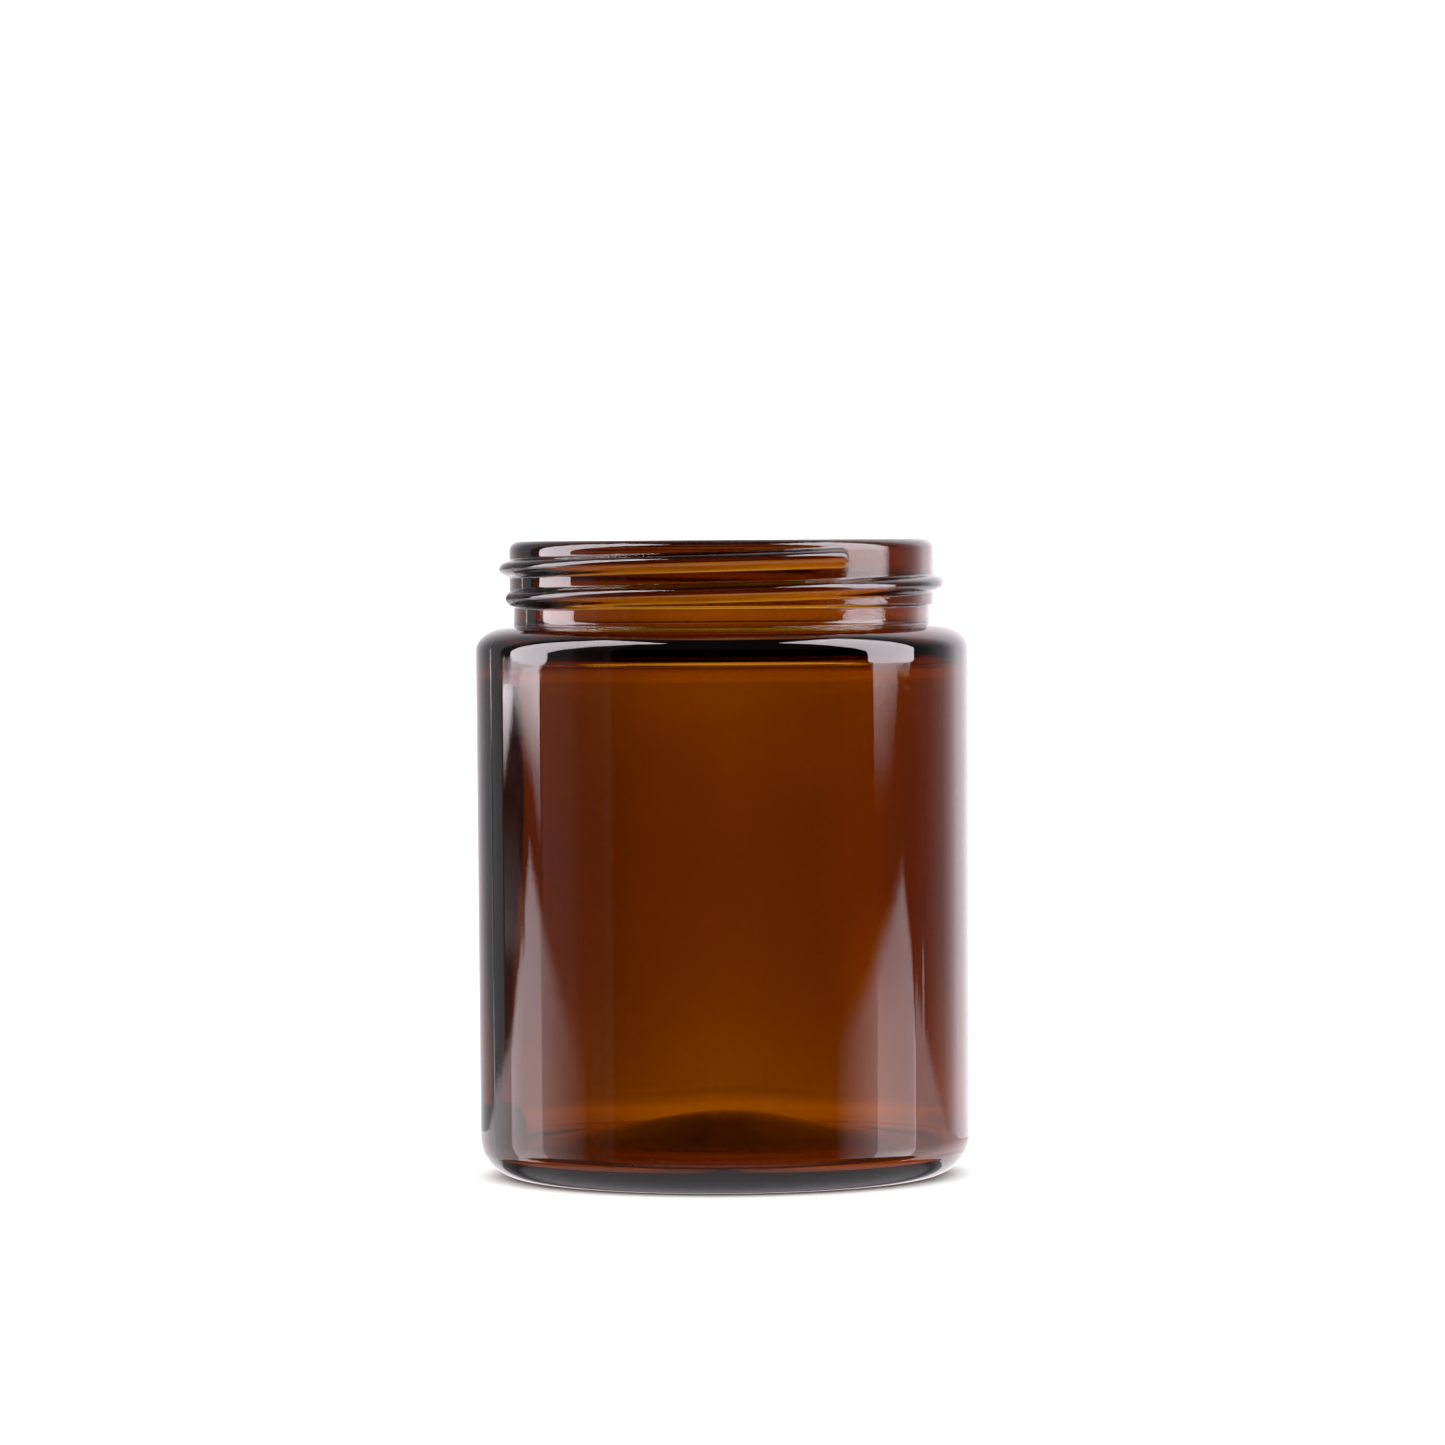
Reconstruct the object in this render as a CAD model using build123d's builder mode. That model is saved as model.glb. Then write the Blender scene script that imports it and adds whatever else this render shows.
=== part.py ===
"""Empty candle jar: a straight-sided amber glass jar with a short screw neck and no lid.

The jar is one piece of moulded glass, so it is one solid in one node. Millimetres, +Z up, with the
origin on the jar's axis, in the plane of the ring that it stands on. -Y is its front.
"""
from build123d import *
from math import cos, radians, sin, tan
import os

# Overall size
jar_height = 88.8
body_radius = 34.25            # label panel at the heel; it widens evenly up to the shoulder
shoulder_radius = 34.45        # the widest part, just under the shoulder
wall = 2.95                    # side wall at the heel

# Neck finish, for a 63-400 continuous-thread closure
neck_radius = 29.7             # cylinder that the thread stands on
lower_neck_radius = 29.1       # relief between the thread and the shoulder
mouth_radius = 26.3
step_depth = 9.2               # below the rim, where the neck steps in to its relief
rim_outer_round = 1.4
rim_inner_round = 0.8
step_round = 0.25

# Shoulder: a quarter ellipse outside and a smooth S inside
shoulder_depth = 11.95         # below the rim
shoulder_run = 5.0
shoulder_drop = 3.35
shoulder_corner_round = 0.3
inner_shoulder_top = 12.6      # below the rim
inner_shoulder_end = 17.4

# Base, pushed up in the middle on both sides
heel_radius = 5.6
ring_inner_radius = 24.8       # inner edge of the flat bearing ring
ring_edge_round = 2.0
underside_rise = 3.6
floor_peak = 9.4               # height of the inside floor at the axis
floor_cap_radius = 9.0         # the floor is a cone outside this radius and a round cap inside it
floor_slope = 14.0             # degrees
inner_heel_round = 1.8

# Thread: one right-hand ridge, 6 to the inch
thread_pitch = 25.4 / 6
thread_turn = 467.0            # degrees
thread_low_angle = 196.0       # of the ridge's lower end, anticlockwise from +X
thread_low_depth = 8.0         # of that end's middle, below the rim
thread_crest_radius = 31.15
thread_root_width = 2.5
thread_crest_width = 1.0
thread_crest_round = 0.45
thread_sink = 0.5              # how deep the ridge's root is set into the neck

# Worked out from the sizes above
inner_radius = body_radius - wall
shoulder_z = jar_height - shoulder_depth
shoulder_end_z = shoulder_z - shoulder_drop
shoulder_inner_end = shoulder_radius - shoulder_run
floor_ball_radius = floor_cap_radius / sin(radians(floor_slope))
floor_cone_top = floor_peak - floor_ball_radius * (1 - cos(radians(floor_slope)))
floor_cone_foot = floor_cone_top - (inner_radius - floor_cap_radius) * tan(radians(floor_slope))
underside_ball_radius = (ring_inner_radius ** 2 + underside_rise ** 2) / (2 * underside_rise)
underside_middle = ring_inner_radius / 2
underside_middle_z = (
    underside_rise - underside_ball_radius + (underside_ball_radius ** 2 - underside_middle ** 2) ** 0.5
)
thread_rise = thread_pitch * thread_turn / 360
thread_height = thread_crest_radius - neck_radius


def outer_outline():
    """Heel, label panel and shoulder, from the bearing ring up to the foot of the neck."""
    CenterArc((body_radius - heel_radius, heel_radius), heel_radius, 270, 90)
    Line((body_radius, heel_radius), (shoulder_radius, shoulder_end_z))
    EllipticalCenterArc(
        (shoulder_inner_end, shoulder_end_z), shoulder_run, shoulder_drop, start_angle=0, arc_size=90
    )


def neck_outline():
    """Outside of the neck, rim and mouth, with every moulded corner rounded."""
    FilletPolyline(
        (shoulder_inner_end, shoulder_z),
        (lower_neck_radius, shoulder_z),
        (lower_neck_radius, jar_height - step_depth),
        (neck_radius, jar_height - step_depth),
        (neck_radius, jar_height),
        (mouth_radius, jar_height),
        (mouth_radius, jar_height - inner_shoulder_top),
        radius=[shoulder_corner_round, step_round, step_round, rim_outer_round, rim_inner_round],
    )


def inner_outline():
    """Inside of the shoulder, the wall, the inner heel and the pushed-up floor."""
    Spline(
        (mouth_radius, jar_height - inner_shoulder_top),
        (inner_radius, jar_height - inner_shoulder_end),
        tangents=((0, -1), (0, -1)),
    )
    FilletPolyline(
        (inner_radius, jar_height - inner_shoulder_end),
        (inner_radius, floor_cone_foot),
        (floor_cap_radius, floor_cone_top),
        radius=inner_heel_round,
    )
    CenterArc((0, floor_peak - floor_ball_radius), floor_ball_radius, 90 - floor_slope, floor_slope)


def underside_outline():
    """The axis, the hollow under the base and the flat ring that the jar stands on."""
    Line((0, floor_peak), (0, underside_rise))
    ThreePointArc((0, underside_rise), (underside_middle, underside_middle_z), (ring_inner_radius, 0))
    Line((ring_inner_radius, 0), (body_radius - heel_radius, 0))


def ridge_half():
    """Half of the thread ridge's section, on one side of its middle: X is out from the neck."""
    FilletPolyline(
        (-thread_sink, 0),
        (-thread_sink, thread_root_width / 2),
        (0, thread_root_width / 2),
        (thread_height, thread_crest_width / 2),
        (thread_height, 0),
        radius=[0, 0, thread_crest_round],
    )
    Line((thread_height, 0), (-thread_sink, 0))


def ridge_plane(path, place):
    """Plane across the thread, with X out from the jar's axis and Z along the ridge."""
    foot = path @ place
    return Plane(origin=foot, x_dir=Vector(foot.X, foot.Y, 0).normalized(), z_dir=path % place)


# The line that the middle of the thread's root follows, from its lower end up
thread_path = Helix(thread_pitch, thread_rise, neck_radius).rotate(Axis.Z, thread_low_angle)
thread_path = thread_path.translate((0, 0, jar_height - thread_low_depth))

with BuildPart() as glass_jar:
    # The wall's section, turned round the axis
    with BuildSketch(Plane.XZ) as wall_section:
        with BuildLine():
            outer_outline()
            neck_outline()
            inner_outline()
            underside_outline()
        make_face()
        ring_edge = wall_section.vertices().sort_by_distance((ring_inner_radius, 0))[0]
        fillet(ring_edge, ring_edge_round)
    revolve(axis=Axis.Z)

    # The thread ridge, one section carried along the helix
    with BuildSketch(ridge_plane(thread_path, 0)):
        with BuildLine():
            ridge_half()
            mirror(about=Plane.XZ)
        make_face()
    sweep(path=thread_path, is_frenet=True)

    # A round nose at each end of the ridge, turned away from it
    for place, half_turn in ((0, -180), (1, 180)):
        nose_plane = ridge_plane(thread_path, place)
        with BuildSketch(nose_plane):
            with BuildLine():
                ridge_half()
            make_face()
        revolve(axis=Axis(nose_plane.origin, nose_plane.x_dir), revolution_arc=half_turn)

os.makedirs("parts", exist_ok=True)
glass_jar.part.label = "glass_jar"
export_step(glass_jar.part, "parts/glass_jar.step")
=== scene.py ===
"""Empty amber glass candle jar: its visual model and a plain studio around it.

The glass is one closed mesh, turned from the jar's wall section, with the thread, the mould seams and
the parting lines raised in the mesh itself. It stands for the CAD node glass_jar.
"""
import math

import bpy
from mathutils import Euler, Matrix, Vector, noise


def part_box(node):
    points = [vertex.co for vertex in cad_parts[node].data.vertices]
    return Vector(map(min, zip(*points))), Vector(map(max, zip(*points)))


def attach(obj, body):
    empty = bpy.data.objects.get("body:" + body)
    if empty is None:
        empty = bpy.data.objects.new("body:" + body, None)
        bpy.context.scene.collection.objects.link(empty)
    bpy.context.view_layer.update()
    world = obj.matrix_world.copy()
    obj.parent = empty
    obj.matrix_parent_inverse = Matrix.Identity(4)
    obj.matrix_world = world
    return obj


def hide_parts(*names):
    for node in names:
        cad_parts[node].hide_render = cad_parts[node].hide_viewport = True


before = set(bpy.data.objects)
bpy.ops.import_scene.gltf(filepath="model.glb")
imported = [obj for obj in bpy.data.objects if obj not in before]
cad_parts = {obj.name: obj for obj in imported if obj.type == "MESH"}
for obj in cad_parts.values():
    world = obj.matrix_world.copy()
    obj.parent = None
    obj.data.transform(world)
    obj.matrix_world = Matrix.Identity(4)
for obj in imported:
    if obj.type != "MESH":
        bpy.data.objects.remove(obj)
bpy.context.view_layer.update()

MM = 0.001
low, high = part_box("glass_jar")
HEIGHT = (high[2] - low[2]) / MM
SHOULDER_R = (high[0] - low[0]) / 2 / MM      # the widest part, at the foot of the shoulder
DRAFT = 0.2
BODY_R = SHOULDER_R - DRAFT                   # at the heel, from which the body widens evenly
WALL = 2.95
INNER_R = BODY_R - WALL
NECK_R = 29.7
LOWER_NECK_R = 29.1
MOUTH_R = 26.3

# Roundings
RIM_OUTER_ROUND = 1.4
RIM_INNER_ROUND = 0.8
STEP_ROUND = 0.25                             # where the lower neck steps out under the thread
NECK_FOOT_ROUND = 0.3

# Depths below the rim
STEP_DEPTH = 9.2
LEDGE_DEPTH = 11.5                            # parting line between neck ring and body mould
SHOULDER_DEPTH = 11.95
INNER_SHOULDER_TOP = 12.6
INNER_SHOULDER_END = 17.4
SHOULDER_RUN, SHOULDER_DROP = 5.0, 3.35

# Base
HEEL_R = 5.6
RING_INNER_R = 24.8
UNDERSIDE_RISE = 3.6
FLOOR_PEAK = 9.4
FLOOR_CAP_R = 9.0
FLOOR_SLOPE = math.radians(14.0)
INNER_HEEL_R = 1.8
BASE_LINE_HEIGHT = 3.6                        # parting line between body mould and bottom plate

# Thread, placed as on the CAD neck. Angles are anticlockwise from +X.
PITCH = 25.4 / 6
THREAD_TURN = math.radians(467.0)
THREAD_LOW_ANGLE = math.radians(196.0)
THREAD_LOW_DEPTH = 8.0                        # middle of the ridge at its lower end
THREAD_HEIGHT = 1.44
THREAD_ROUND = 1.08                           # half width of the round crest, taken down to the neck
THREAD_FILLET_START = 0.95                    # the hollow fillet runs from here
THREAD_FOOT = 1.4                             # to here

# Skin of the glass as (size across, size upright, height) in mm: fine level ripples, and orange peel
RIPPLE = (3.0, 0.36, 0.0004)
PEEL = (1.6, 0.5, 0.011)

# Where the orange peel is: at least this strong round the neck, full on the neck's front right, and
# full in a small patch below the shoulder
PEEL_LEAST = 0.12
PEEL_RIGHT = -45.0
PATCH_ANGLE = math.radians(-149.0)
PATCH_TURN = math.radians(7.0)
PATCH_DEPTH = 17.4
PATCH_HEIGHT = 1.3

# Seams of the two mould halves, and the two level parting lines
SEAM_ANGLES = (math.radians(-158.1), math.radians(21.9))
SEAM_HEIGHT = 0.045
SEAM_WIDTH = 0.13
LINE_WIDTH = 0.16
LEDGE_LINE_RISE = 0.10
BASE_LINE_RISE = 0.07

# The blown body wall is thickest at this height and thins towards the shoulder and the heel
THICK_HEIGHT = 41.0
THICK_SPAN = 34.0
THICK_EXTRA = 0.22
THICK_LOSS = 0.55
WAVE_RISE = 0.06                              # and its inside has slow, uneven waves this high
WAVES_ROUND = 2.2                             # radius in the noise of one turn round the jar
WAVE_LENGTH = 22.0                            # height up the wall for one step in the noise

# Fades, as (where it starts, over how much)
SEAM_TOP_FADE = (1.2, 1.5)                    # depth below the rim
SEAM_FOOT_FADE = (1.0, 2.5)                   # height
THREAD_STEP_FADE = (-0.4, 0.5)                # height over the step
WAVE_TOP_FADE = (12.0, 8.0)                   # depth below the rim
WAVE_FOOT_FADE = (5.0, 4.0)                   # height
BODY_SKIN_FADE = (33.0, 0.5)                  # radius
NECK_SKIN_FADE = (28.4, 0.4)                  # radius
RIPPLE_FOOT_FADE = (4.0, 6.0)                 # height
PEEL_FOOT_FADE = (LEDGE_DEPTH, 0.5)           # depth below the rim
PEEL_RIGHT_FADE = (14.0, 10.0)                # degrees to either side

# Columns of the mesh, then the extra ones at each seam and at each end of the thread
COLUMNS = 250
SEAM_COLUMNS = range(-7, 8)
SEAM_SPACING = math.radians(0.1)
THREAD_END_COLUMNS = range(-5, 6)
THREAD_END_SPACING = math.radians(0.6)
CLOSEST_COLUMNS = math.radians(0.07)

# Amber glass: refractive index, and what a metre of it absorbs of red, green and blue
GLASS_IOR = 1.52
ABSORBED = (337.0, 614.0, 1600.0)

# Camera: sensor and lens in millimetres, distance in metres
SENSOR_WIDTH = 36.0
LENS = 164.4
CAMERA_DISTANCE = 0.923
CAMERA_TIP = math.radians(1.587)
CAMERA_ROLL = math.radians(0.37)

# Stage, in metres
CARD_DISTANCE = 60.0
FLOOR_HALF = 60.0
FLOOR_DROP = 0.00005
FLOOR_GREY = 0.9

# Studio light by azimuth (0 is the camera's side) and by elevation, as (degrees, brightness).
# REFLECTED is what the glass mirrors. THROUGH is what shows through it: ROUND times RISE and FINE
# where BEHIND is 1, and ROUND times ELSEWHERE where it is 0. FINE is fitted to how bright the body
# looks from the scene's own camera, and is not a model of a real backdrop.
ROOM_LIGHT = 1.9
REFLECTED_TINT = (1.0, 0.93, 0.98)
REFLECTED_ROUND = [
    (-180, 1.35), (-165, 0.9), (-157, 0.67), (-147, 0.42), (-139, 0.36), (-126.5, 0.36),
    (-125.5, 0.1), (-94, 0.06), (-93.6, 0.26), (-74, 0.2), (-71.2, 0.08), (-57, 0.06), (-56, 0.11),
    (-53, 0.1), (-52, 0.0), (70, 0.0), (99, 0.07), (111, 0.18), (125, 0.5), (133, 1.0), (142, 1.8),
    (162, 1.8), (180, 1.35),
]
REFLECTED_BAND = [(-90, 0.0), (-30, 0.0), (-12, 1.0), (45, 1.0), (70, 0.3), (90, 0.2)]
REFLECTED_FLOOR = [
    (-90, 0.9), (-40, 0.72), (-33, 0.5), (-29, 0.1), (-14, 0.0), (14, 0.0), (30, 0.06), (90, 0.06),
]
THROUGH_ROUND = [
    (-180, 1.0), (-179.1, 1.08), (-178.3, 0.87), (-177.7, 0.77), (-175, 0.79), (-169, 1.1),
    (-160, 1.0), (160, 1.6), (169, 1.2), (172, 1.2), (174.4, 1.35), (175.7, 1.24), (176.6, 1.0),
    (179.3, 0.91), (180, 1.0),
]
# Behind the jar and below about -14 degrees, darkest from -22 degrees down, THROUGH_RISE is near black.
# This is painted shadow: it stands in for the floor in the jar's own shade, seen through the base.
THROUGH_RISE = [
    (-90, 0.05), (-22, 0.05), (-14, 1.0), (-9, 1.4), (-5.4, 2.2), (-5.0, 2.15), (-4.5, 1.75),
    (-3.6, 1.2), (-3.1, 1.0), (-2.7, 0.98), (-2.3, 1.15), (-1.9, 1.5), (-1.4, 1.7), (0, 1.6),
    (90, 1.2),
]
THROUGH_FINE = [
    (-3.5, 0.88), (-3.2, 1.15), (-3.1, 1.28), (-3.04, 1.23), (-3.0, 1.12), (-2.9, 1.13),
    (-2.83, 1.13), (-2.786, 1.08), (-2.755, 0.94), (-2.74, 0.96), (-2.71, 1.09), (-2.68, 1.26),
    (-2.66, 1.3), (-2.6, 1.24), (-2.45, 1.1), (-2.2, 1.0),
]
FINE_SPAN = (-3.5, -2.2)                      # the wall bends most of the view through it into this
THROUGH_ELSEWHERE = [(-90, 1.3), (-30, 1.8), (-18, 1.6), (-9, 1.1), (0, 1.4), (90, 1.2)]
BEHIND = [(-180, 1), (-156, 1), (-146, 0), (146, 0), (156, 1), (180, 1)]
TAPER_TURN = 0.34                             # cards stand lower by this, for the body's draft

# Light cards far round the jar, as corners of (azimuth, elevation, strength)
CARDS = {
    "softbox_left": [(-124.2, -1.0, 7.5), (-94.4, -1.0, 8.5), (-89.5, -0.5, 8.5), (-41, 62, 10),
                     (-106, 62, 10), (-116.5, -0.5, 7.5)],
    "softbox_left_low": [(-114.6, -1.3, 1), (-94.4, -1.3, 7.5), (-94.4, -1.0, 8.5),
                         (-114.6, -1.0, 5)],
    "softbox_left_leg": [(-114.6, -1.3, 1), (-100.2, -1.9, 1), (-94.4, -1.9, 2), (-94.4, -1.3, 7.5)],
    "softbox_left_foot": [(-100.2, -1.9, 1), (-95.5, -2.5, 0.3), (-94.4, -2.5, 0.5),
                          (-94.4, -1.9, 2)],
    "softbox_left_back_leg": [(-124.2, -1.9, 0.5), (-114.6, -1.3, 4), (-114.6, -1.0, 7.5),
                              (-124.2, -1.0, 7.5)],
    "softbox_right": [(97.5, -0.9, 9), (74.6, -0.9, 9), (71.5, -0.5, 9), (42, 62, 10),
                      (110, 62, 10), (100.5, -0.5, 9)],
    "softbox_right_low": [(88, -1.45, 0.5), (74.8, -1.5, 1.8), (74.6, -0.9, 5), (90, -0.9, 2.5)],
    "softbox_right_leg": [(86, -2.0, 0), (75, -2.1, 0.1), (74.8, -1.5, 1.8), (88, -1.45, 0.5)],
    "bench_left": [(-102.5, -2.6, 2.4), (-107.5, -3.2, 2.7), (-119.5, -4.3, 3.0),
                   (-119.5, -20, 3.4), (-95, -20, 3.8), (-95, -4.3, 3.4), (-95, -3.2, 2.9)],
    "bench_left_edge": [(-95, -3.2, 1.8), (-95, -20, 2.0), (-66, -20, 0.0), (-66, -4.6, 0.0)],
    "bench_left_back": [(-119.5, -4.2, 1.3), (-137.5, -4.6, 1.3), (-137.5, -20, 1.3),
                        (-119.5, -20, 1.3)],
    "bench_left_far": [(-137.5, -4.7, 1.3), (-176, -4.7, 1.3), (-176, -20, 1.3),
                       (-137.5, -20, 1.3)],
    "bench_left_dim": [(-114.5, -2.0, 0.0), (-124.5, -2.0, 0.0), (-124.5, -3.4, 0.5),
                       (-105.5, -3.4, 0.5)],
    "bench_right": [(92.5, -2.85, 2.4), (98.5, -3.6, 2.6), (101, -4.3, 4.2), (101, -20, 7.0),
                    (75, -20, 5.0), (75.5, -4.3, 3.4), (77, -3.6, 2.3)],
    "bench_right_edge": [(77, -3.6, 2.0), (77, -20, 2.2), (53, -20, 0.0), (53, -4.4, 0.0)],
    "bench_right_gap": [(106.2, -3.5, 1.4), (107.8, -3.5, 1.4), (107.8, -4.8, 1.4),
                        (106.2, -4.8, 1.4)],
    "bench_right_back": [(101, -3.8, 1.5), (101, -20, 2.8), (176, -20, 1.4), (176, -4.8, 1.4),
                         (122.5, -4.8, 1.0)],
}

# Black card behind the jar on the left, with its corners given the same way
DARK_FLAG = [
    (-149, -1.0, 0), (-158, -1.6, 0), (-165, -2.4, 0), (-167.6, -2.95, 0), (-169, -4.5, 0),
    (-170, -9, 0), (-170, -14, 0), (-100, -14, 0), (-100, 25, 0), (-149, 25, 0),
]


def smooth(t):
    """Smooth step from 0 to 1."""
    t = min(1.0, max(0.0, t))
    return t * t * (3 - 2 * t)


def rising(value, fade):
    """0 up to where the fade starts, then smoothly up to 1."""
    start, run = fade
    return smooth((value - start) / run)


def line(start, end, count):
    """Points from start up to, but not at, end."""
    return [
        (start[0] + (end[0] - start[0]) * i / count, start[1] + (end[1] - start[1]) * i / count)
        for i in range(count)
    ]


def arc(centre, radii, start, end, count):
    """Points on an ellipse's arc, from the start angle up to, but not at, the end angle, in degrees."""
    points = []
    for i in range(count):
        angle = math.radians(start + (end - start) * i / count)
        points.append((centre[0] + radii[0] * math.cos(angle), centre[1] + radii[1] * math.sin(angle)))
    return points


def s_curve(start, end, count):
    """Points from start up to, but not at, end, upright at both ends."""
    points = []
    for i in range(count):
        t = i / count
        points.append((start[0] + (end[0] - start[0]) * smooth(t), start[1] + (end[1] - start[1]) * t))
    return points


def outside_section():
    """Outside of the wall section as (radius, height) in mm, from the standing ring up to the rim."""
    heel = (BODY_R - HEEL_R, HEEL_R)
    shoulder = (SHOULDER_R - SHOULDER_RUN, HEIGHT - SHOULDER_DEPTH - SHOULDER_DROP)
    corner, step, rim = NECK_FOOT_ROUND, STEP_ROUND, RIM_OUTER_ROUND
    neck_foot = HEIGHT - SHOULDER_DEPTH
    under_step = HEIGHT - STEP_DEPTH
    section = arc(heel, (HEEL_R, HEEL_R), 270, 360, 30)
    section += line((BODY_R, HEEL_R), (SHOULDER_R, shoulder[1]), 40)
    section += arc(shoulder, (SHOULDER_RUN, SHOULDER_DROP), 0, 90, 24)
    section += arc((LOWER_NECK_R + corner, neck_foot + corner), (corner, corner), 270, 180, 4)
    section += line((LOWER_NECK_R, neck_foot + corner), (LOWER_NECK_R, under_step - step), 16)
    section += arc((LOWER_NECK_R + step, under_step - step), (step, step), 180, 90, 3)
    section += arc((NECK_R - step, under_step + step), (step, step), 270, 360, 3)
    section += line((NECK_R, under_step + step), (NECK_R, HEIGHT - rim), 76)
    section += arc((NECK_R - rim, HEIGHT - rim), (rim, rim), 0, 90, 12)
    return section


def inside_section():
    """Inside of the wall section, from the rim down to near the middle of the pushed-up floor."""
    rim = RIM_INNER_ROUND
    wall_top = HEIGHT - INNER_SHOULDER_END
    ball = FLOOR_CAP_R / math.sin(FLOOR_SLOPE)
    cone_top = FLOOR_PEAK - ball * (1 - math.cos(FLOOR_SLOPE))
    cone_foot = cone_top - (INNER_R - FLOOR_CAP_R) * math.tan(FLOOR_SLOPE)
    tangent = INNER_HEEL_R / math.tan((math.pi / 2 - FLOOR_SLOPE) / 2)
    heel = (INNER_R - INNER_HEEL_R, cone_foot + tangent)
    cone_start = (
        heel[0] - INNER_HEEL_R * math.sin(FLOOR_SLOPE), heel[1] - INNER_HEEL_R * math.cos(FLOOR_SLOPE)
    )
    section = line((NECK_R - RIM_OUTER_ROUND, HEIGHT), (MOUTH_R + rim, HEIGHT), 4)
    section += arc((MOUTH_R + rim, HEIGHT - rim), (rim, rim), 90, 180, 7)
    section += line((MOUTH_R, HEIGHT - rim), (MOUTH_R, HEIGHT - INNER_SHOULDER_TOP), 8)
    section += s_curve((MOUTH_R, HEIGHT - INNER_SHOULDER_TOP), (INNER_R, wall_top), 20)
    section += line((INNER_R, wall_top), (INNER_R, heel[1]), 34)
    section += arc(heel, (INNER_HEEL_R, INNER_HEEL_R), 0, -90 - math.degrees(FLOOR_SLOPE), 16)
    section += line(cone_start, (FLOOR_CAP_R, cone_top), 8)
    section += arc((0, FLOOR_PEAK - ball), (ball, ball), 90 - math.degrees(FLOOR_SLOPE), 90, 8)
    return section


def underside_section():
    """Hollow under the base, from near the axis out to the ring that the jar stands on."""
    ball = (RING_INNER_R ** 2 + UNDERSIDE_RISE ** 2) / (2 * UNDERSIDE_RISE)
    edge = math.degrees(math.asin(RING_INNER_R / ball))
    section = arc((0, UNDERSIDE_RISE - ball), (ball, ball), 90 - edge / 12, 90 - edge, 11)
    section += line((RING_INNER_R, 0), (BODY_R - HEEL_R, 0), 4)
    return section


def near(angle, other):
    """Smallest turn between two angles."""
    return abs((angle - other + math.pi) % (2 * math.pi) - math.pi)


def thread_rise(angle, height):
    """How far the thread stands out of the neck here, in mm: a ridge along a helix with round ends."""
    start = HEIGHT - THREAD_LOW_DEPTH
    turned = (angle - THREAD_LOW_ANGLE) % (2 * math.pi)
    closest = THREAD_FOOT
    for turn in (turned - 2 * math.pi, turned, turned + 2 * math.pi):
        on_ridge = min(max(turn, 0.0), THREAD_TURN)
        across = height - start - PITCH * on_ridge / (2 * math.pi)
        along = (turn - on_ridge) * NECK_R
        closest = min(closest, math.hypot(across, along))
    return ridge_profile(closest)


def ridge_profile(across):
    """Height of the thread at this distance from its middle: a round crest, then a hollow fillet."""
    start, run = THREAD_FILLET_START, THREAD_FOOT - THREAD_FILLET_START
    if across <= start:
        return THREAD_HEIGHT * math.sqrt(1 - (across / THREAD_ROUND) ** 2)
    left = math.sqrt(1 - (start / THREAD_ROUND) ** 2)
    slope = -start / THREAD_ROUND ** 2 / left
    t = min(1.0, (across - start) / run)
    return THREAD_HEIGHT * (left * (1 + 2 * t) * (1 - t) ** 2 + slope * run * t * (1 - t) ** 2)


def seam_rise(angle, height):
    """Height of the two upright mould seams, fading out at the rim and under the heel."""
    fade = rising(HEIGHT - height, SEAM_TOP_FADE) * rising(height, SEAM_FOOT_FADE)
    rise = 0.0
    for seam in SEAM_ANGLES:
        off = near(angle, seam) * BODY_R / SEAM_WIDTH
        rise = max(rise, math.exp(-off * off))
    return SEAM_HEIGHT * fade * rise


def bead(offset, rise):
    """Height of a level parting line at this distance from its middle."""
    return rise * math.exp(-(offset / LINE_WIDTH) ** 2)


def outside_rise(height, angle):
    """How far the outside stands out from the plain turned section."""
    rise = seam_rise(angle, height)
    above_step = rising(height - HEIGHT + STEP_DEPTH, THREAD_STEP_FADE)
    if above_step > 0:
        rise += above_step * thread_rise(angle, height)
    rise += bead(height - (HEIGHT - LEDGE_DEPTH), LEDGE_LINE_RISE)
    rise += bead(height - BASE_LINE_HEIGHT, BASE_LINE_RISE)
    return rise


def inside_wave(height, angle):
    """How far the blown inside wall bends out from the plain turned section, in mm."""
    on_wall = rising(height, WAVE_FOOT_FADE) * rising(HEIGHT - height, WAVE_TOP_FADE)
    across = (WAVES_ROUND * math.cos(angle), WAVES_ROUND * math.sin(angle))
    at = Vector((*across, height / WAVE_LENGTH))
    thicker = THICK_EXTRA - THICK_LOSS * ((height - THICK_HEIGHT) / THICK_SPAN) ** 2
    return on_wall * (WAVE_RISE * noise.noise(at) - thicker)


def ripple_share(point):
    """How strong the fine ripples are at a point in mm: only on the outside of the body."""
    outside = rising(math.hypot(point.x, point.y), BODY_SKIN_FADE)
    return outside * rising(point.z, RIPPLE_FOOT_FADE)


def peel_share(point):
    """How strong the orange peel is at a point in mm."""
    radius = math.hypot(point.x, point.y)
    depth = HEIGHT - point.z
    angle = math.atan2(point.y, point.x)
    neck = (1 - rising(depth, PEEL_FOOT_FADE)) * rising(radius, NECK_SKIN_FADE)
    right = 1 - rising(abs(math.degrees(angle) - PEEL_RIGHT), PEEL_RIGHT_FADE)
    share = PEEL_LEAST + (1 - PEEL_LEAST) * right
    across = near(angle, PATCH_ANGLE) / PATCH_TURN
    upright = (PATCH_DEPTH - depth) / PATCH_HEIGHT
    patch = math.exp(-(across ** 2) - upright ** 2)
    return max(neck * share, patch * rising(radius, BODY_SKIN_FADE))


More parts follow.
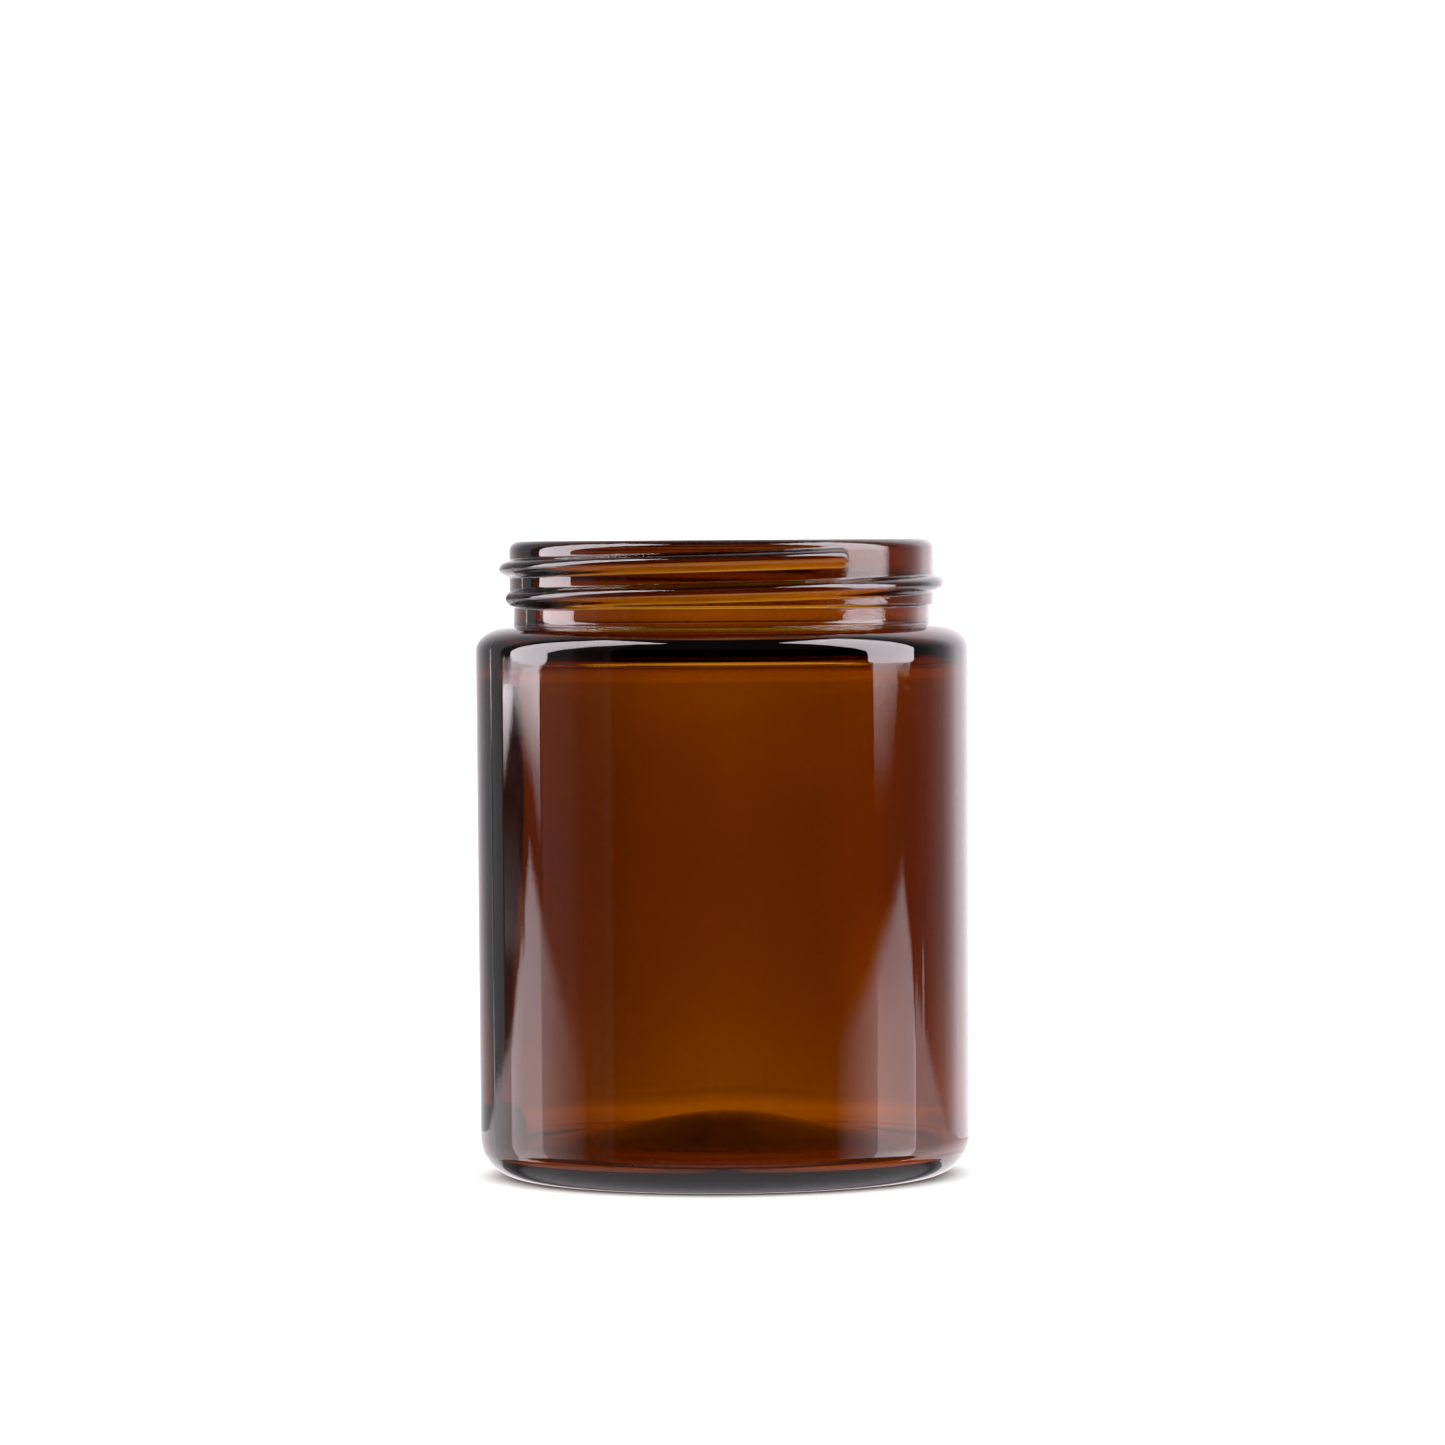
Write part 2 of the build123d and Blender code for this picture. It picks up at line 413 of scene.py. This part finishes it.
def column_angles():
    """Angles of the mesh's columns: even, and closer at the seams and at the thread's two ends."""
    angles = [2 * math.pi * i / COLUMNS for i in range(COLUMNS)]
    ends = (THREAD_LOW_ANGLE, THREAD_LOW_ANGLE + THREAD_TURN)
    for centre in SEAM_ANGLES:
        angles += [centre + SEAM_SPACING * i for i in SEAM_COLUMNS]
    for centre in ends:
        angles += [centre + THREAD_END_SPACING * i for i in THREAD_END_COLUMNS]
    angles = sorted(angle % (2 * math.pi) for angle in angles)
    kept = []
    for angle in angles:
        if not kept or angle - kept[-1] > CLOSEST_COLUMNS:
            kept.append(angle)
    return kept


def jar_mesh():
    """Closed mesh of the glass, its rows turned round the axis and its two middles closed with fans."""
    rows = [(radius, height, None) for radius, height in underside_section()]
    rows += [(radius, height, outside_rise) for radius, height in outside_section()]
    rows += [(radius, height, inside_wave) for radius, height in inside_section()]
    angles = column_angles()
    points = []
    for radius, height, shape in rows:
        for angle in angles:
            here = radius + (shape(height, angle) if shape else 0.0)
            points.append((here * math.cos(angle) * MM, here * math.sin(angle) * MM, height * MM))
    columns = len(angles)
    faces = []
    for row in range(len(rows) - 1):
        for column in range(columns):
            after = (column + 1) % columns
            below, above = row * columns, (row + 1) * columns
            faces.append((below + column, below + after, above + after, above + column))
    under, over = len(points), len(points) + 1
    points += [(0, 0, UNDERSIDE_RISE * MM), (0, 0, FLOOR_PEAK * MM)]
    last = (len(rows) - 1) * columns
    for column in range(columns):
        after = (column + 1) % columns
        faces.append((under, after, column))
        faces.append((over, last + column, last + after))
    mesh = bpy.data.meshes.new("amber_jar")
    mesh.from_pydata(points, [], faces)
    mesh.polygons.foreach_set("use_smooth", [True] * len(mesh.polygons))
    mesh.update()
    mesh.validate()
    for name, share in (("ripple", ripple_share), ("peel", peel_share)):
        skin = mesh.attributes.new(name, "FLOAT", "POINT")
        skin.data.foreach_set("value", [share(Vector(point) / MM) for point in points])
    return mesh


def node(tree, kind, **values):
    """A shader node with its sockets and settings given by name."""
    made = tree.nodes.new(kind)
    for key, value in values.items():
        if key in made.inputs:
            made.inputs[key].default_value = value
        else:
            setattr(made, key, value)
    return made


def uneven_skin(tree, where, skin, strength, below):
    """Bump of noise whose height follows a mesh attribute. Gives back its normal socket."""
    across, upright, rise = skin
    stretch = node(tree, "ShaderNodeMapping")
    stretch.inputs["Scale"].default_value = (1 / across / MM, 1 / across / MM, 1 / upright / MM)
    tree.links.new(where.outputs["Object"], stretch.inputs["Vector"])
    waves = node(tree, "ShaderNodeTexNoise", Detail=1.0)
    tree.links.new(stretch.outputs["Vector"], waves.inputs["Vector"])
    share = node(tree, "ShaderNodeAttribute", attribute_name=strength)
    height = node(tree, "ShaderNodeMath", operation="MULTIPLY")
    tree.links.new(waves.outputs["Fac"], height.inputs[0])
    tree.links.new(share.outputs["Fac"], height.inputs[1])
    bump = node(tree, "ShaderNodeBump")
    bump.inputs["Distance"].default_value = rise * MM
    tree.links.new(height.outputs[0], bump.inputs["Height"])
    if below:
        tree.links.new(below, bump.inputs["Normal"])
    return bump.outputs["Normal"]


def amber_glass():
    """Clear amber glass: tint by depth, faint mould ripples on the body and orange peel on the neck."""
    material = bpy.data.materials.new("amber_glass")
    material.use_nodes = True
    tree = material.node_tree
    tree.nodes.clear()
    link = tree.links.new
    output = node(tree, "ShaderNodeOutputMaterial")
    shader = node(tree, "ShaderNodeBsdfPrincipled")
    shader.inputs["Base Color"].default_value = (1, 1, 1, 1)
    shader.inputs["Transmission Weight"].default_value = 1.0
    shader.inputs["IOR"].default_value = GLASS_IOR
    shader.inputs["Roughness"].default_value = 0.0
    link(shader.outputs["BSDF"], output.inputs["Surface"])

    where = node(tree, "ShaderNodeTexCoord")
    fine = uneven_skin(tree, where, RIPPLE, "ripple", None)
    coarse = uneven_skin(tree, where, PEEL, "peel", fine)
    link(coarse, shader.inputs["Normal"])

    tint = node(tree, "ShaderNodeVolumeAbsorption")
    density = max(ABSORBED)
    tint.inputs["Color"].default_value = (*[1 - share / density for share in ABSORBED], 1)
    tint.inputs["Density"].default_value = density
    link(tint.outputs["Volume"], output.inputs["Volume"])
    return material


def card_material():
    """White light whose strength is stored at the card's corners."""
    material = bpy.data.materials.new("card")
    material.use_nodes = True
    tree = material.node_tree
    tree.nodes.clear()
    strength = node(tree, "ShaderNodeAttribute", attribute_name="glow")
    glow = node(tree, "ShaderNodeEmission", Color=(*REFLECTED_TINT, 1))
    output = node(tree, "ShaderNodeOutputMaterial")
    tree.links.new(strength.outputs["Fac"], glow.inputs["Strength"])
    tree.links.new(glow.outputs["Emission"], output.inputs["Surface"])
    return material


def card(name, corners):
    """Far light card that only reflections see. Corners are (azimuth, elevation, strength)."""
    centre = Vector((0, 0, HEIGHT * MM))
    points = []
    for azimuth, elevation, _ in corners:
        a, e = math.radians(azimuth), math.radians(elevation - TAPER_TURN)
        points.append(centre + CARD_DISTANCE * Vector((math.sin(a), -math.cos(a), math.tan(e))))
    mesh = bpy.data.meshes.new(name)
    mesh.from_pydata(points, [], [tuple(range(len(points)))])
    glow = mesh.attributes.new("glow", "FLOAT", "POINT")
    glow.data.foreach_set("value", [strength for _, _, strength in corners])
    made = bpy.data.objects.new(name, mesh)
    bpy.context.scene.collection.objects.link(made)
    mesh.materials.append(bpy.data.materials.get("card") or card_material())
    made.visible_camera = False
    made.visible_diffuse = False
    made.visible_transmission = False
    made.visible_volume_scatter = False
    made.visible_shadow = False
    return made


def dark_flag():
    """Black card seen only through the glass. It darkens the jar's left edge."""
    made = card("dark_flag", DARK_FLAG)
    made.visible_glossy = False
    made.visible_transmission = True


def floor():
    """Pale floor that the camera sees but the glass does not."""
    mesh = bpy.data.meshes.new("floor")
    half = FLOOR_HALF
    corners = [(-half, -half, 0), (half, -half, 0), (half, half, 0), (-half, half, 0)]
    mesh.from_pydata(corners, [], [(0, 1, 2, 3)])
    made = bpy.data.objects.new("floor", mesh)
    bpy.context.scene.collection.objects.link(made)
    made.location.z = -FLOOR_DROP
    made.visible_glossy = False
    made.visible_transmission = False
    material = bpy.data.materials.new("floor")
    material.use_nodes = True
    shader = material.node_tree.nodes["Principled BSDF"]
    shader.inputs["Base Color"].default_value = (FLOOR_GREY, FLOOR_GREY, FLOOR_GREY, 1)
    shader.inputs["Roughness"].default_value = 1.0
    shader.inputs["Specular IOR Level"].default_value = 0.0
    mesh.materials.append(material)


def studio_world():
    """White room, dark where the glass mirrors the camera's side and bright seen through the glass."""
    world = bpy.data.worlds.new("studio")
    bpy.context.scene.world = world
    world.use_nodes = True
    tree = world.node_tree
    tree.nodes.clear()
    link = tree.links.new
    where = node(tree, "ShaderNodeTexCoord")
    split = node(tree, "ShaderNodeSeparateXYZ")
    link(where.outputs["Generated"], split.inputs[0])
    back = node(tree, "ShaderNodeMath", operation="MULTIPLY")
    back.inputs[1].default_value = -1
    link(split.outputs["Y"], back.inputs[0])
    turn = node(tree, "ShaderNodeMath", operation="ARCTAN2")
    link(split.outputs["X"], turn.inputs[0])
    link(back.outputs[0], turn.inputs[1])
    azimuth = node(tree, "ShaderNodeMapRange")
    azimuth.inputs["From Min"].default_value = -math.pi
    azimuth.inputs["From Max"].default_value = math.pi
    link(turn.outputs[0], azimuth.inputs["Value"])
    azimuth = azimuth.outputs["Result"]
    rise = node(tree, "ShaderNodeMapRange")
    rise.inputs["From Min"].default_value = -1
    link(split.outputs["Z"], rise.inputs["Value"])
    rise = rise.outputs["Result"]

    reflected = node(tree, "ShaderNodeMath", operation="MULTIPLY_ADD")
    link(ramp(tree, azimuth, REFLECTED_ROUND, turn_place), reflected.inputs[0])
    link(ramp(tree, rise, REFLECTED_BAND, rise_place), reflected.inputs[1])
    link(ramp(tree, rise, REFLECTED_FLOOR, rise_place), reflected.inputs[2])
    fine = node(tree, "ShaderNodeMapRange")
    fine.inputs["From Min"].default_value = math.sin(math.radians(FINE_SPAN[0]))
    fine.inputs["From Max"].default_value = math.sin(math.radians(FINE_SPAN[1]))
    link(split.outputs["Z"], fine.inputs["Value"])
    backdrop = node(tree, "ShaderNodeMath", operation="MULTIPLY")
    link(ramp(tree, rise, THROUGH_RISE, rise_place), backdrop.inputs[0])
    link(ramp(tree, fine.outputs["Result"], THROUGH_FINE, fine_place), backdrop.inputs[1])
    elsewhere = ramp(tree, rise, THROUGH_ELSEWHERE, rise_place)
    behind = ramp(tree, azimuth, BEHIND, turn_place)
    through = node(tree, "ShaderNodeMath", operation="MULTIPLY")
    link(ramp(tree, azimuth, THROUGH_ROUND, turn_place), through.inputs[0])
    link(mixed(tree, behind, elsewhere, backdrop.outputs[0]), through.inputs[1])

    path = node(tree, "ShaderNodeLightPath")
    mirrored = node(tree, "ShaderNodeMath", operation="SUBTRACT", use_clamp=True)
    link(path.outputs["Is Glossy Ray"], mirrored.inputs[0])
    link(path.outputs["Is Transmission Ray"], mirrored.inputs[1])
    room = mixed(tree, mirrored.outputs[0], ROOM_LIGHT, reflected.outputs[0])
    seen = mixed(tree, path.outputs["Is Transmission Ray"], room, through.outputs[0])
    tint = node(tree, "ShaderNodeCombineColor")
    for channel, share in zip(("Red", "Green", "Blue"), REFLECTED_TINT):
        link(mixed(tree, mirrored.outputs[0], 1.0, share), tint.inputs[channel])
    background = node(tree, "ShaderNodeBackground")
    link(tint.outputs["Color"], background.inputs["Color"])
    link(seen, background.inputs["Strength"])
    output = node(tree, "ShaderNodeOutputWorld")
    link(background.outputs[0], output.inputs["Surface"])


def mixed(tree, factor, first, second):
    """First value at factor 0 and second value at factor 1. Each is a number or a socket."""
    made = tree.nodes.new("ShaderNodeMix")
    tree.links.new(factor, made.inputs["Factor"])
    for socket, value in ((made.inputs["A"], first), (made.inputs["B"], second)):
        if isinstance(value, float):
            socket.default_value = value
        else:
            tree.links.new(value, socket)
    return made.outputs["Result"]


def turn_place(degrees):
    """Place of an azimuth on a colour ramp."""
    return (degrees + 180) / 360


def rise_place(degrees):
    """Place of an elevation on a colour ramp."""
    return (math.sin(math.radians(degrees)) + 1) / 2


def fine_place(degrees):
    """Place of an elevation on the colour ramp of the narrow band that shows through the wall."""
    return (degrees - FINE_SPAN[0]) / (FINE_SPAN[1] - FINE_SPAN[0])


def ramp(tree, source, stops, place):
    """Grey colour ramp with its stops given in degrees. Gives back its output socket."""
    made = tree.nodes.new("ShaderNodeValToRGB")
    elements = made.color_ramp.elements
    while len(elements) > 1:
        elements.remove(elements[-1])
    for i, (degrees, value) in enumerate(stops):
        stop = elements[0] if i == 0 else elements.new(place(degrees))
        stop.position = place(degrees)
        stop.color = (value, value, value, 1)
    tree.links.new(source, made.inputs["Fac"])
    return made.outputs["Color"]


def camera():
    """Camera level with the rim, as far away as a long lens stands, tipped down to the jar's middle."""
    data = bpy.data.cameras.new("camera")
    data.sensor_width = SENSOR_WIDTH
    data.lens = LENS
    made = bpy.data.objects.new("camera", data)
    bpy.context.scene.collection.objects.link(made)
    made.location = (0, -CAMERA_DISTANCE, HEIGHT * MM)
    made.rotation_mode = "QUATERNION"
    tipped = Euler((math.radians(90) - CAMERA_TIP, 0, 0)).to_quaternion()
    made.rotation_quaternion = tipped @ Euler((0, 0, -CAMERA_ROLL)).to_quaternion()
    data.clip_start = 0.05
    data.clip_end = 30.0
    bpy.context.scene.camera = made


def look():
    """Colour management and light bounces."""
    scene = bpy.context.scene
    scene.view_settings.view_transform = "Standard"
    scene.view_settings.look = "None"
    scene.cycles.max_bounces = 32
    scene.cycles.transmission_bounces = 24
    scene.cycles.glossy_bounces = 12
    scene.cycles.use_denoising = True


camera()
look()
studio_world()
floor()
for name, corners in CARDS.items():
    card(name, corners)
dark_flag()

jar = bpy.data.objects.new("amber_jar", jar_mesh())
bpy.context.scene.collection.objects.link(jar)
jar.data.materials.append(amber_glass())
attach(jar, "root")
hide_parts("glass_jar")
